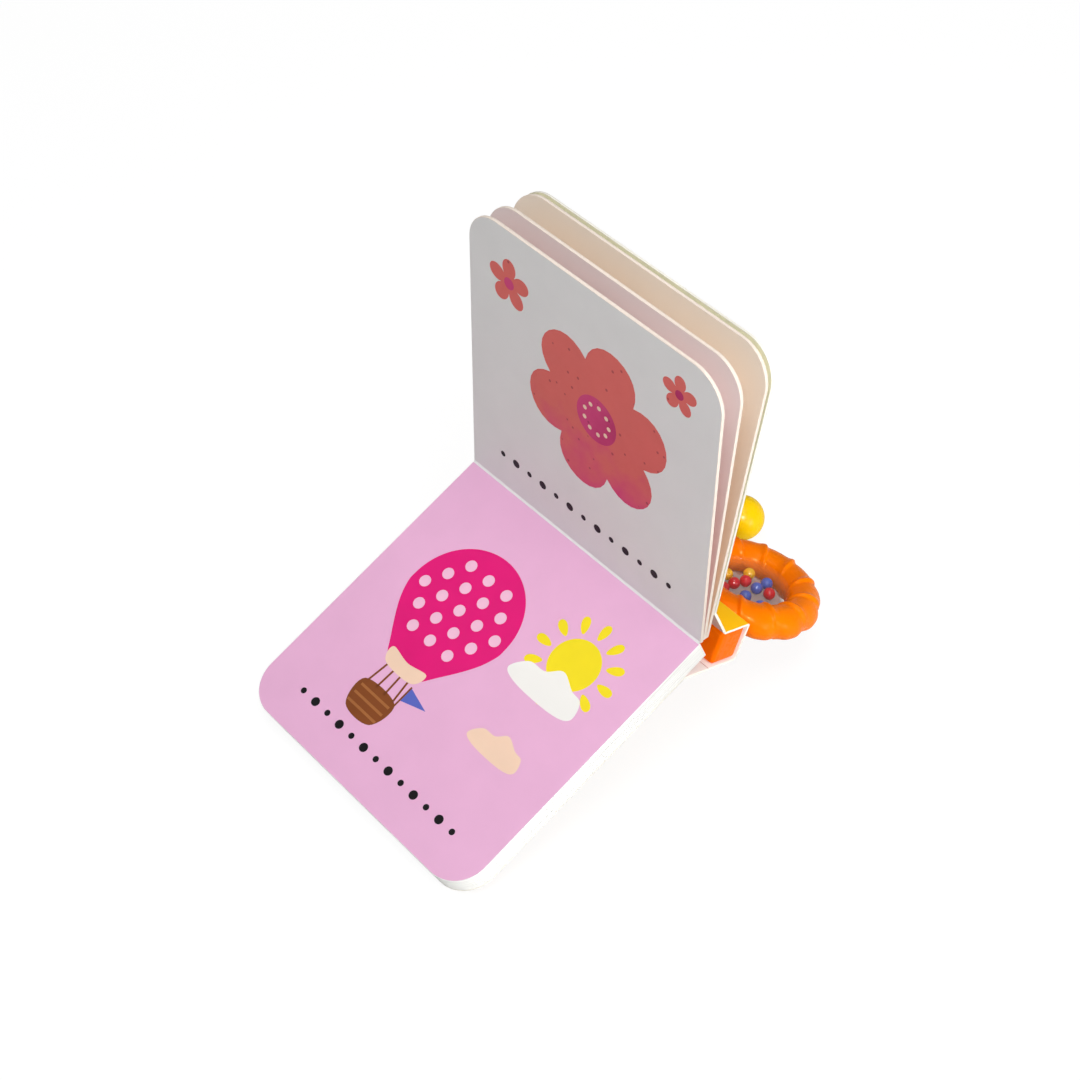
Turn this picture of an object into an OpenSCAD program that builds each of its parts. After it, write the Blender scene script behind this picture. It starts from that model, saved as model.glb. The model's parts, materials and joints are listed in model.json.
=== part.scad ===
// Rattle book: an open board book that stands like an easel on its rear cover and on the ball of
// the rattle that its card spine holds. Millimetres, X along the gutter, +Y towards the rattle.

/* [Pages] */
// Length of a page along the gutter
page_l = 130; // [120:1:160]
// Width of a page from the gutter to its outer edge
page_w = 130; // [100:1:160]
// Thickness of one board
board_t = 1.45; // [1.2:0.05:2]
// Radius of the outer corners of the pages and covers
corner_r = 15; // [6:0.5:25]
// Boards in the rear half
rear_boards = 7; // [6:1:8]
// Lift of each front board from the open page, in degrees
fan_angles = [0, 3.75, 9]; // [0:0.05:15]
// Distance from the spine edge to the line where the front boards part
join_w = 1.5; // [1:0.25:4]
// Height of the grooves that part the rear boards
groove_h = 0.16; // [0.1:0.02:0.4]
// Depth of those grooves from the page edges
groove_d = 1.2; // [0.6:0.1:3]

/* [Covers and spine card] */
// Thickness of the cover card
card_t = 1.1; // [0.8:0.05:1.5]
// Lift of the front cover from the open page, in degrees
cover_angle = 9.65; // [9:0.05:14]
// Distance from the spine edge to the fold where the covers' glue ends
glue_in = 12; // [10:0.5:16]
// Distance from the spine edge of the pages to the inner edge of the spine box's roof
box_in = 4; // [3:0.25:5]
// Distance from the spine edge of the pages to the outer face of the spine wall
box_out = 19; // [16:0.5:23]
// Outer height of the spine wall
wall_h = 17.9; // [17:0.1:20]

/* [Opening] */
// Angle between the two open pages
open_angle = 112; // [95:0.2:125]
// Angle of the spine box to the rear pages
spine_angle = 43; // [38:0.5:48]

/* [Rattle] */
// Distance of the ring centres from the middle of the book
ring_x = 40; // [36:0.5:48]
// Distance of the ring centres from the spine wall
ring_out = 31.7; // [31.6:0.1:42]
// Radius of the ring's centre line
ring_r = 22.8; // [18:0.1:23]
// Radius of the ring's tube between its ribs
tube_r = 6.9; // [6:0.1:7.5]
// Height of the slanting ribs on the tube
rib_h = 1.3; // [0.5:0.1:1.5]
// Height of the round lobes between the ribs' ends on the ring's outer side
lobe_h = 0.7; // [0:0.1:1]
// Number of slanting ribs round a ring
rib_count = 12; // [8:1:16]
// Half height of the round seat of the windows in a ring
seat_h = 4; // [3.5:0.1:5]
// Rise of a window above its rim
window_crown = 1.6; // [1:0.1:2.5]
// Wall of a window
window_t = 1.2; // [0.8:0.1:1.3]
// Diameter of a bead, as a share of the radius of its window
bead_share = 0.29; // [0.2:0.01:0.3]
// Diameter of the pegs and the stem
stem_d = 8; // [5:0.25:8]
// Depth of the sockets for the pegs and the stem
socket_depth = 7; // [4:0.5:9]
// Diameter of the stem's collar on the spine wall
collar_d = 14; // [12:0.5:15]
// Thickness of that collar
collar_t = 2; // [1:0.25:4]
// Distance of the stem below the middle of the spine wall
stem_drop = 2.2; // [0:0.1:2.6]
// Radius of the ball
ball_r = 9.8; // [8:0.1:12]
// Distance of the ball's centre from the spine wall
ball_out = 74; // [70:0.5:90]
// Distance of the bar's ends from the ends of the card
bar_recess = 0.6; // [0.5:0.1:8]

/* [Clearances] */
// Gap between the two open pages when the book is shut
fold_gap = 0.3; // [0.2:0.05:0.6]
// Gap between the last front board and the front cover at the spine
cover_gap = 0.15; // [0.1:0.05:0.5]
// Gap between the rear pages and the free strip of spine card under them when the book is shut
strip_gap = 0.15; // [0.1:0.05:0.5]
// Gap on each side of a card fold's axis
hinge_gap = 0.6; // [0.5:0.05:1]
// Gap between the front strip and the roof of the spine box
tip_gap = 0.8; // [0.5:0.05:1.5]
// Gap between the bar and the card round it
bar_gap = 0.15; // [0.1:0.05:0.4]
// Gap round a peg, stem, window or bead
fit_gap = 0.15; // [0.1:0.05:0.3]

/* [Hidden] */
$fn = 96;
full_turn = 360;
overlap = 0.5;

rear_stack = rear_boards * board_t;
rear_total = rear_stack + card_t;
front_count = len(fan_angles);
cover_base = board_base(front_count) + cover_gap;

// Points are [y, z] pairs in the shut book: gutter at the origin, rear pages to -Y and below
gutter = [0, fold_gap / 2];
rear_fold = [-glue_in, -rear_stack - card_t / 2];
wall_low = -rear_total - strip_gap;
wall_top = wall_low + wall_h;
wall_mid = wall_low + wall_h / 2;
roof_edge = [box_in, wall_top - card_t / 2];
front_fold = lifted([-glue_in, card_t / 2], cover_base, cover_angle);
ball_spot = [box_out + ball_out, wall_mid - stem_drop];

// The same points in the open book
front_fold_open = turned(front_fold, -open_angle, gutter);
roof_edge_open = turned(roof_edge, -spine_angle, rear_fold);
ball_open = turned(ball_spot, -spine_angle, rear_fold);
strip_run = roof_edge_open - front_fold_open;

// The floor touches the rear cover's outer edge and the underside of the ball
foot = [-page_w, -rear_total];
to_ball = ball_open - foot;
rest_slope = asin(ball_r / norm(to_ball)) - atan2(to_ball[1], to_ball[0]);
lift = -turned(foot, rest_slope, [0, 0])[1];
front_reach = -page_w * cos(rest_slope);
back_reach = turned(ball_open, rest_slope, [0, 0])[0] + ball_r;
shift = -(front_reach + back_reach) / 2;

// Ring mesh
ring_steps = 8 * rib_count;
tube_steps = 24;
rib_lean = -1;
rib_start = 5;
rib_sharp = 5;
lobe_middle = -20;
lobe_sharp = 3;
seat_r = ring_r - sqrt(pow(tube_r, 2) - pow(seat_h, 2));
window_r = seat_r - fit_gap;
bead_d = bead_share * window_r;
crown_steps = 8;

// Places of the beads in a capsule, from its centre, as [across, outwards] shares of the window's radius
yellow_spots = [[-0.66, -0.02], [-0.44, 0.56], [0.235, -0.615]];
red_spots = [[-0.35, -0.09], [-0.29, 0.275], [0.34, 0.44], [-0.295, -0.56]];
blue_spots = [[0.145, -0.225], [0.03, 0.33], [0.035, 0.69], [0.615, -0.235]];

// A [y, z] point turned about the X axis through the point about
function turned(point, angle, about) =
    let (y = point[0] - about[0], z = point[1] - about[1])
    about + [y * cos(angle) - z * sin(angle), y * sin(angle) + z * cos(angle)];

// Height of the underside of front board i at the line where the boards part
function board_base(i) = i == 0 ? fold_gap : board_base(i - 1) + board_t / cos(fan_angles[i - 1]);

// A [y, z] point of a front board or cover, lifted from the open page
function lifted(point, base, fan) = turned(point, -fan, [-join_w, 0]) + [0, base];

// Share of the lobes at tube angle b: none over the top of the tube, all of it at the ring's outer side
function lobe_share(b) = pow((1 + cos(b - lobe_middle)) / 2, lobe_sharp);

// Nearness to a rib's line at ring angle a and tube angle b, from 0 to 1
function rib_near(a, b) = (1 + cos(rib_count * (a - rib_start) - rib_lean * b)) / 2;

// Height of the skin above the plain tube: ribs over the top, lobes that dip at the ribs' ends outside
function rib(a, b) =
    let (near = rib_near(a, b), share = lobe_share(b))
    rib_h * pow(near, rib_sharp) * (1 - share) + lobe_h * (1 - 2 * pow(near, 2)) * share;

// A point of the ring's skin, with the flat seat of the windows inside
function ring_point(a, b) =
    let (r = tube_r + rib(a, b), reach = max(ring_r + r * cos(b), seat_r))
    [reach * cos(a), reach * sin(a), r * sin(b)];

// Inner height of a window above the ring's middle plane, at a distance from its centre
function window_inside(distance) = seat_h - window_t + window_crown * (1 - pow(distance / window_r, 2));

module rear_place() {
    translate([0, shift, lift])
        rotate([rest_slope, 0, 0])
            children();
}

module turn_about(point, angle) {
    translate([0, point[0], point[1]])
        rotate([angle, 0, 0])
            translate([0, -point[0], -point[1]])
                children();
}

module front_place() {
    rear_place()
        turn_about(gutter, -open_angle)
            children();
}

// Lifts a front board or cover from the open page
module fanned(base, fan) {
    translate([0, 0, base])
        turn_about([-join_w, 0], -fan)
            children();
}

module spine_place() {
    rear_place()
        turn_about(rear_fold, -spine_angle)
            children();
}

module near_place() {
    spine_place()
        translate([ring_x, box_out + ring_out, wall_mid])
            children();
}

module far_place() {
    mirror([1, 0, 0])
        near_place()
            children();
}

// Extrudes a [y, z] outline along X, centred on the middle of the book
module along_x(length) {
    translate([-length / 2, 0, 0])
        rotate([90, 0, 90])
            linear_extrude(length)
                children();
}

// Outline of a page: square at the spine, round at its two outer corners, with extra past the spine
module page_outline(inset = 0, extra = 0) {
    r = corner_r - inset;
    half = page_l / 2 - inset;
    far = page_w - inset;
    translate([-half, r - far])
        square([2 * half, far - r + extra]);
    translate([r - half, -far])
        square([2 * (half - r), r + overlap]);
    for (side = [-1, 1])
        translate([side * (half - r), r - far])
            circle(r);
}

// Outline of a cover: a page without the strip next to the spine
module cover_outline() {
    difference() {
        page_outline();
        translate([-page_l, -glue_in - hinge_gap])
            square([2 * page_l, 2 * glue_in]);
    }
}

module rear_pages() {
    color("pink")
        rear_place()
            translate([0, 0, -rear_stack]) {
                linear_extrude(rear_stack)
                    page_outline(groove_d);
                for (i = [0 : rear_boards - 1])
                    translate([0, 0, i * board_t + (i == 0 ? 0 : groove_h)])
                        linear_extrude(board_t - (i == 0 ? 0 : groove_h))
                            page_outline();
            }
}

module rear_cover() {
    color("gold")
        rear_place()
            translate([0, 0, -rear_total])
                linear_extrude(card_t)
                    cover_outline();
}

// Section of the front boards, with some length to trim: glued along the spine edge, fanned from there
module fan_outline() {
    last = front_count - 1;
    spine_top = lifted([0, board_t], board_base(last), fan_angles[last]);
    polygon([
        [0, fold_gap],
        for (i = [0 : last], step = [0 : 2])
            step == 2 ? (i == last ? [0, spine_top[1]] : [-join_w, board_base(i + 1)])
                : lifted([-page_w - corner_r, step * board_t], board_base(i), fan_angles[i])
    ]);
}

// The boards are trimmed together, square to the middle of the fan
module front_pages() {
    mid_angle = fan_angles[front_count - 1] / 2;
    trim = (page_w - join_w) * (1 - cos(mid_angle));
    color("whitesmoke")
        front_place()
            intersection() {
                along_x(2 * page_l)
                    fan_outline();
                fanned(fold_gap, mid_angle)
                    translate([0, trim, -page_w / 2])
                        linear_extrude(page_w)
                            page_outline(0, corner_r);
            }
}

module front_cover() {
    color("gold")
        front_place()
            fanned(cover_base, cover_angle)
                linear_extrude(card_t)
                    cover_outline();
}

module front_strip() {
    color("gold")
        rear_place()
            translate([0, front_fold_open[0], front_fold_open[1]])
                rotate([atan2(strip_run[1], strip_run[0]), 0, 0])
                    along_x(page_l)
                        translate([hinge_gap, -card_t / 2])
                            square([norm(strip_run) - hinge_gap - tip_gap, card_t]);
}

// Outline of the folded spine card: floor panel with its free strip, wall and roof panel
module spine_outline() {
    translate([hinge_gap - glue_in, wall_low])
        square([box_out + glue_in - hinge_gap, card_t]);
    translate([box_out - card_t, wall_low])
        square([card_t, wall_h]);
    translate([box_in, wall_top - card_t])
        square([box_out - box_in, card_t]);
}

// Pegs or bores of the rattle along +Y: from y_start to y_end, at the rings and at the stem
module rattle_pins(diameter, y_start, y_end) {
    for (spot = [[-ring_x, wall_mid], [0, wall_mid - stem_drop], [ring_x, wall_mid]])
        translate([spot[0], y_start, spot[1]])
            rotate([-90, 0, 0])
                cylinder(d = diameter, h = y_end - y_start);
}

module spine_card() {
    color("gold")
        spine_place()
            difference() {
                along_x(page_l)
                    spine_outline();
                rattle_pins(stem_d + 2 * fit_gap, box_out - 2 * card_t, box_out + card_t);
            }
}

module anchor_bar() {
    bar_face = box_out - card_t - bar_gap;
    bar_low = wall_low + card_t + bar_gap;
    bar_high = wall_top - card_t - bar_gap;
    color("darkorange")
        spine_place()
            difference() {
                along_x(page_l - 2 * bar_recess)
                    translate([box_in, bar_low])
                        square([bar_face - box_in, bar_high - bar_low]);
                rattle_pins(stem_d + 2 * fit_gap, bar_face - socket_depth, box_out);
            }
}

// Ribbed ring about the Z axis with a peg towards -Y
module ring() {
    points = [for (i = [0 : ring_steps - 1], j = [0 : tube_steps - 1])
        ring_point(full_turn * i / ring_steps, full_turn * j / tube_steps)];
    faces = [for (i = [0 : ring_steps - 1], j = [0 : tube_steps - 1])
        let (n = (i + 1) % ring_steps, m = (j + 1) % tube_steps)
        [i * tube_steps + j, i * tube_steps + m, n * tube_steps + m, n * tube_steps + j]];
    peg_end = ring_out + card_t + bar_gap + socket_depth - fit_gap;
    polyhedron(points, faces, convexity = 6);
    translate([0, -ring_r, 0])
        rotate([90, 0, 0])
            cylinder(d = stem_d, h = peg_end - ring_r);
}

// Upper half of a bead capsule: a clear cup with a low crown
module window() {
    radii = [for (i = [0 : crown_steps]) i / crown_steps];
    inner_r = window_r - window_t;
    outside = [for (s = radii) [s * window_r, window_inside(s * window_r) + window_t]];
    inside = [for (s = radii) [(1 - s) * inner_r, window_inside((1 - s) * inner_r)]];
    rotate_extrude()
        polygon(concat(outside, [[window_r, 0], [inner_r, 0]], inside));
}

// Beads of one colour, lying on the lower window
module beads(spots) {
    for (share = spots)
        let (spot = window_r * share)
            translate([spot[0], spot[1], bead_d / 2 + fit_gap - window_inside(norm(spot) + bead_d / 4)])
                sphere(d = bead_d, $fn = 48);
}

module near_ring() { color("darkorange") near_place() ring(); }
module near_window_top() { color("lightcyan", 0.4) near_place() window(); }
module near_window_bottom() { color("lightcyan", 0.4) near_place() mirror([0, 0, 1]) window(); }
module near_beads_yellow() { color("gold") near_place() beads(yellow_spots); }
module near_beads_red() { color("crimson") near_place() beads(red_spots); }
module near_beads_blue() { color("royalblue") near_place() beads(blue_spots); }
module far_ring() { color("darkorange") far_place() ring(); }
module far_window_top() { color("lightcyan", 0.4) far_place() window(); }
module far_window_bottom() { color("lightcyan", 0.4) far_place() mirror([0, 0, 1]) window(); }
module far_beads_yellow() { color("gold") far_place() beads(yellow_spots); }
module far_beads_red() { color("crimson") far_place() beads(red_spots); }
module far_beads_blue() { color("royalblue") far_place() beads(blue_spots); }

module stem() {
    stem_start = box_out - card_t - bar_gap - socket_depth + fit_gap;
    color("darkorange")
        spine_place()
            translate([0, 0, wall_mid - stem_drop])
                rotate([-90, 0, 0]) {
                    translate([0, 0, stem_start])
                        cylinder(d = stem_d, h = box_out + ball_out - ball_r / 2 - fit_gap - stem_start);
                    translate([0, 0, box_out])
                        cylinder(d = collar_d, h = collar_t);
                }
}

module ball() {
    color("yellow")
        spine_place()
            translate([0, ball_spot[0], ball_spot[1]])
                difference() {
                    sphere(r = ball_r);
                    rotate([90, 0, 0])
                        translate([0, 0, ball_r / 2])
                            cylinder(d = stem_d + 2 * fit_gap, h = ball_r);
                }
}

rear_pages();
rear_cover();
front_pages();
front_cover();
front_strip();
spine_card();
anchor_bar();
near_ring();
near_window_top();
near_window_bottom();
near_beads_yellow();
near_beads_red();
near_beads_blue();
far_ring();
far_window_top();
far_window_bottom();
far_beads_yellow();
far_beads_red();
far_beads_blue();
stem();
ball();
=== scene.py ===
"""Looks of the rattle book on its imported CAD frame: boards, folded card, prints, rattle, light and camera."""

import json
import math

import bmesh
import bpy
from mathutils import Matrix, Vector


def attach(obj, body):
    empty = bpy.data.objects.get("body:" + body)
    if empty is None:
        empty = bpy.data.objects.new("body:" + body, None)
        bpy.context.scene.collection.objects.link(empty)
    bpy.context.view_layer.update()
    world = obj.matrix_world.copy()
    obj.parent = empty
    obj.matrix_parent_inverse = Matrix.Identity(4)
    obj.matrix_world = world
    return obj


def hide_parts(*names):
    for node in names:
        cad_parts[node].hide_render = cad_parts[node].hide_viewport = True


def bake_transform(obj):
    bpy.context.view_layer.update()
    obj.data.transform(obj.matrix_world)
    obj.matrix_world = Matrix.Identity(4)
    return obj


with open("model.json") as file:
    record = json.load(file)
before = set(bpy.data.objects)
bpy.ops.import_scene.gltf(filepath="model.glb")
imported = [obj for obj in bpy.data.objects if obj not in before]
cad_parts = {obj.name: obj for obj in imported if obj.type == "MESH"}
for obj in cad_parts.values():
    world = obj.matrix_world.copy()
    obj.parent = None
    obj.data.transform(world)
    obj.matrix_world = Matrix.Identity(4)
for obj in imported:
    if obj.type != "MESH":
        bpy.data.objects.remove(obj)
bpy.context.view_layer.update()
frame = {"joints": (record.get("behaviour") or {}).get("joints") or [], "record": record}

# Sizes in millimetres and degrees, as in the part's source
MM = 0.001
PAGE_L = 130
PAGE_W = 130
BOARD_T = 1.45
CORNER_R = 15
REAR_BOARDS = 7
FAN_ANGLES = (0, 3.75, 9)
JOIN_W = 1.5
CARD_T = 1.1
COVER_ANGLE = 9.65
GLUE_IN = 12
BOX_IN = 4
BOX_OUT = 19
WALL_H = 17.9
OPEN_ANGLE = 112
SPINE_ANGLE = 43
RING_X = 40
RING_OUT = 31.7
RING_R = 22.8
TUBE_R = 6.9
RIB_H = 1.3
RIB_COUNT = 12
RIB_LEAN = -1
RIB_START = 5
LOBE_H = 0.63  # the solids have 0.7; a little less keeps the finer mesh in their box
LOBE_MIDDLE = -20
LOBE_SHARP = 3
SEAT_H = 4
WINDOW_CROWN = 1.6
WINDOW_T = 1.2
BEAD_SHARE = 0.29
STEM_D = 8
SOCKET_DEPTH = 7
COLLAR_D = 14
COLLAR_T = 2
STEM_DROP = 2.2
BALL_R = 9.8
BALL_OUT = 74
BAR_RECESS = 0.6
FOLD_GAP = 0.3
COVER_GAP = 0.15
STRIP_GAP = 0.15
HINGE_GAP = 0.6
TIP_GAP = 0.8
BAR_GAP = 0.15
FIT_GAP = 0.15

REAR_STACK = REAR_BOARDS * BOARD_T
REAR_TOTAL = REAR_STACK + CARD_T
HALF = PAGE_L / 2
WALL_LOW = -REAR_TOTAL - STRIP_GAP
WALL_TOP = WALL_LOW + WALL_H
WALL_MID = WALL_LOW + WALL_H / 2
GUTTER = Vector((0, FOLD_GAP / 2))
REAR_FOLD = Vector((-GLUE_IN, -REAR_STACK - CARD_T / 2))
WINDOW_R = RING_R - math.sqrt(TUBE_R**2 - SEAT_H**2) - FIT_GAP
BEAD_D = BEAD_SHARE * WINDOW_R
# Places of the beads of each colour, as shares of the window's radius
BEAD_SPOTS = {
    "yellow": ((-0.66, -0.02), (-0.44, 0.56), (0.235, -0.615)),
    "red": ((-0.35, -0.09), (-0.29, 0.275), (0.34, 0.44), (-0.295, -0.56)),
    "blue": ((0.145, -0.225), (0.03, 0.33), (0.035, 0.69), (0.615, -0.235)),
}

# Detail that only the looks have, in millimetres
BOARD_BEVEL = 0.16
CARD_BEVEL = 0.12
FOLD_R = 0.95
FOLD_FIT = 0.98  # share of the room at a fold that its bend takes
PRINT_STEP = 0.012  # height of one layer of ink
GUTTER_W = 0.6
GUTTER_LIFT = 0.03
GUTTER_SAG = 0.12  # share of the way to the gutter that the paper hinge sags
BAR_ROUND = 1.8
PEG_ROUND = 0.5
COLLAR_EDGE = 0.2
COLLAR_ROUND = 0.7
COLLAR_FILLET = 1.5
RIB_STEEP = 0.4  # spread of a rib's steep side, in radians of its wave
RIB_GENTLE = 1.0  # spread of its other side
RIB_FADE = 4  # how sharply the ribs fade out inside the ring
SEAT_GAP = 0.4  # between the tube and the capsule's waist
WINDOW_RIM = 0.4
BALL_SEAM = (0.1, 0.16)  # depth and half width
BEAD_SEAM = (0.03, 0.06)
CREASE_W = 0.35
CREASE_Y = 1.7


# Frames in millimetres: each takes points of its own frame to the part's frame
def turn(about, angle):
    """Turn by angle degrees about the line along X through the (y, z) point about."""
    there = Matrix.Translation((0, about[0], about[1]))
    return there @ Matrix.Rotation(math.radians(angle), 4, "X") @ there.inverted()


def in_metres(matrix):
    """The same frame with its shift in metres, for an object whose mesh is in metres."""
    result = matrix.copy()
    result.translation *= MM
    return result


def turned(point, angle, about=(0, 0)):
    """A point of a plane turned by angle degrees about the point about."""
    a = math.radians(angle)
    sine, cosine = math.sin(a), math.cos(a)
    y, z = point[0] - about[0], point[1] - about[1]
    return Vector((about[0] + y * cosine - z * sine, about[1] + y * sine + z * cosine))


joints = {joint["name"]: Vector(joint["pos_m"]) for joint in frame["joints"]}
rear_face = next(mount for mount in frame["record"]["mounts"] if mount["name"] == "rear_cover_face")
rest_slope = math.degrees(math.atan2(rear_face["axis"][1], -rear_face["axis"][2]))
REAR = (
    Matrix.Translation(joints["book_hinge"] / MM)
    @ Matrix.Rotation(math.radians(rest_slope), 4, "X")
    @ Matrix.Translation((0, -GUTTER[0], -GUTTER[1]))
)
FRONT = REAR @ turn(GUTTER, -OPEN_ANGLE)
SPINE = REAR @ turn(REAR_FOLD, -SPINE_ANGLE)


def board_base(i):
    """Height of the underside of front board i where the boards part, in the shut book."""
    return FOLD_GAP + sum(BOARD_T / math.cos(math.radians(a)) for a in FAN_ANGLES[:i])


def fanned(base, angle):
    """Frame of a front board or cover that lies at base and is lifted by angle degrees."""
    return FRONT @ Matrix.Translation((0, 0, base)) @ turn((-JOIN_W, 0), -angle)


COVER_BASE = board_base(len(FAN_ANGLES)) + COVER_GAP
COVER = fanned(COVER_BASE, COVER_ANGLE)


# Materials
def srgb(red, green, blue):
    """A colour given in 0 to 255 as linear RGBA."""

    def linear(c):
        c /= 255
        return c / 12.92 if c <= 0.04045 else ((c + 0.055) / 1.055) ** 2.4

    return (linear(red), linear(green), linear(blue), 1)


def shade(colour, factor):
    """A colour made darker or lighter."""
    return tuple(min(c * factor, 1) for c in colour[:3]) + (1,)


class Surface:
    """A Principled material with the few nodes that the finishes here share."""

    def __init__(self, name, **sockets):
        self.material = bpy.data.materials.new(name)
        self.material.use_nodes = True
        self.tree = self.material.node_tree
        self.shader = self.tree.nodes["Principled BSDF"]
        for socket, value in sockets.items():
            self.shader.inputs[socket.replace("_", " ")].default_value = value
        self.coords = self.tree.nodes.new("ShaderNodeTexCoord").outputs["Object"]

    def node(self, kind, inputs=None, **settings):
        """A node whose inputs are links or constant values."""
        node = self.tree.nodes.new(kind)
        for key, value in settings.items():
            setattr(node, key, value)
        for socket, value in (inputs or {}).items():
            if isinstance(value, bpy.types.NodeSocket):
                self.tree.links.new(value, node.inputs[socket])
            else:
                node.inputs[socket].default_value = value
        return node

    def noise(self, scale, detail=3, stretch=(1, 1, 1)):
        """Noise at scale features a metre, drawn out along an axis where stretch is small."""
        where = self.node("ShaderNodeMapping", {"Vector": self.coords, "Scale": stretch}).outputs[0]
        values = {"Vector": where, "Scale": scale, "Detail": detail}
        return self.node("ShaderNodeTexNoise", values).outputs["Fac"]

    def ramp(self, value, stops):
        """A colour that runs through (place, colour) stops as a value runs from 0 to 1."""
        ramp = self.node("ShaderNodeValToRGB", {"Fac": value})
        elements = ramp.color_ramp.elements
        while len(elements) < len(stops):
            elements.new(0.5)
        for element, (place, colour) in zip(elements, stops):
            element.position = place
            element.color = colour
        return ramp.outputs["Color"]

    def spread(self, value, low, high):
        """The middle of a noise as a number from low to high."""
        ends = {"Value": value, "From Min": 0.3, "From Max": 0.7, "To Min": low, "To Max": high}
        return self.node("ShaderNodeMapRange", ends).outputs[0]

    def into(self, socket, value):
        """Links a value to a socket of the shader."""
        self.tree.links.new(value, self.shader.inputs[socket])

    def bump(self, height, distance, strength):
        """Fine relief from a height, distance metres deep."""
        bump = self.node("ShaderNodeBump", {"Height": height, "Distance": distance, "Strength": strength})
        self.into("Normal", bump.outputs[0])

    def satin(self, gloss):
        """Satin film over board: uneven gloss, and the board's tooth showing through."""
        self.into("Roughness", self.spread(self.noise(240), gloss - 0.05, gloss + 0.07))
        self.bump(self.noise(1500, detail=2), 0.00004, 0.12)


INK_SHINE = 0.2
INK_GLOSS = 0.42
CLOUD_SCALE = 55


def printed(name, colour, mottle=0.03, gloss=INK_GLOSS):
    """Colour on board under a satin film, with a faint mottle: print on most pieces, while a few, noted where
    they are made, are painted shade and painted reflection.
    """
    made = Surface(name, Specular_IOR_Level=INK_SHINE)
    stops = [(0.3, shade(colour, 1 - mottle)), (0.7, shade(colour, 1 + mottle))]
    made.into("Base Color", made.ramp(made.noise(CLOUD_SCALE, detail=4), stops))
    made.satin(gloss)
    return made.material


def washed(name, first, second, axis, low, high):
    """Watercolour ink that runs from the first to the second colour along a local axis, with dark specks."""
    made = Surface(name, Specular_IOR_Level=INK_SHINE)
    along = made.node("ShaderNodeSeparateXYZ", {"Vector": made.coords}).outputs[axis]
    ends = {"Value": along, "From Min": low * MM, "From Max": high * MM, "To Min": 0.15, "To Max": 0.85}
    run = made.node("ShaderNodeMapRange", ends)
    cloud = {0: made.noise(60, detail=5), 1: 0.9, 2: -0.45}
    pool = made.node("ShaderNodeMath", cloud, operation="MULTIPLY_ADD")
    mixed = made.node("ShaderNodeMath", {0: run.outputs[0], 1: pool.outputs[0]}, operation="ADD")
    wash = made.ramp(mixed.outputs[0], [(0, first), (0.5, shade(first, 0.93)), (1, second)])
    speck = made.node("ShaderNodeTexVoronoi", {"Vector": made.coords, "Scale": 210, "Randomness": 1})
    dark = made.ramp(speck.outputs["Distance"], [(0.1, (0.62, 0.5, 0.55, 1)), (0.16, (1, 1, 1, 1))])
    both = made.node("ShaderNodeMix", {0: 1}, data_type="RGBA", blend_type="MULTIPLY")
    made.tree.links.new(wash, both.inputs["A"])
    made.tree.links.new(dark, both.inputs["B"])
    made.into("Base Color", both.outputs["Result"])
    made.satin(INK_GLOSS)
    return made.material


def painted_gap_shade(name, outer, inner):
    """Page colour that is pale at the outer edge and deeper towards the spine: the deepening is painted shade
    and painted reflection in the fan's gap.
    """
    made = Surface(name, Specular_IOR_Level=INK_SHINE)
    across = made.node("ShaderNodeSeparateXYZ", {"Vector": made.coords}).outputs["Y"]
    ends = {"Value": across, "From Min": -PAGE_W * MM, "From Max": -PAGE_W / 4 * MM}
    run = made.node("ShaderNodeMapRange", ends).outputs[0]
    cloud = made.spread(made.noise(CLOUD_SCALE, detail=4), -0.03, 0.03)
    mixed = made.node("ShaderNodeMath", {0: run, 1: cloud}, operation="ADD").outputs[0]
    made.into("Base Color", made.ramp(mixed, [(0, outer), (1, inner)]))
    made.satin(INK_GLOSS)
    return made.material


def cut_edge(name, colour):
    """Cut board seen edge on: pulp in thin layers, a little darker between them."""
    made = Surface(name, Specular_IOR_Level=INK_SHINE, Roughness=0.85)
    layers = made.noise(900, detail=4, stretch=(0.03, 0.03, 1))
    stops = [(0.28, shade(colour, 0.86)), (0.5, colour), (0.75, shade(colour, 1.04))]
    made.into("Base Color", made.ramp(layers, stops))
    made.bump(made.noise(2600, detail=3, stretch=(0.15, 0.15, 1)), 0.00005, 0.3)
    return made.material


def moulded(name, colour, deep, gloss=0.2, shine=0.16, tint=(1, 1, 1, 1)):
    """Glossy moulded plastic with flow marks and fine scuffs; tint colours its shine."""
    made = Surface(name, Specular_IOR_Level=shine, Specular_Tint=tint)
    flow = made.noise(38, detail=4)
    made.into("Base Color", made.ramp(flow, [(0.3, deep), (0.6, colour), (0.8, shade(colour, 1.03))]))
    made.into("Roughness", made.spread(made.noise(420, detail=4), gloss, gloss + 0.14))
    made.bump(made.noise(900, detail=3), 0.00003, 0.15)
    return made.material


def clear(name, colour, veil_opacity):
    """Clear moulded plastic under a thin veil of a colour at an opacity, with fine scratches."""
    made = Surface(name, Base_Color=colour, Alpha=veil_opacity, IOR=1.45, Coat_Weight=0.4, Coat_Roughness=0.04)
    made.into("Roughness", made.spread(made.noise(300, detail=4), 0.06, 0.2))
    made.bump(made.noise(700, detail=2), 0.00002, 0.1)
    return made.material


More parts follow.
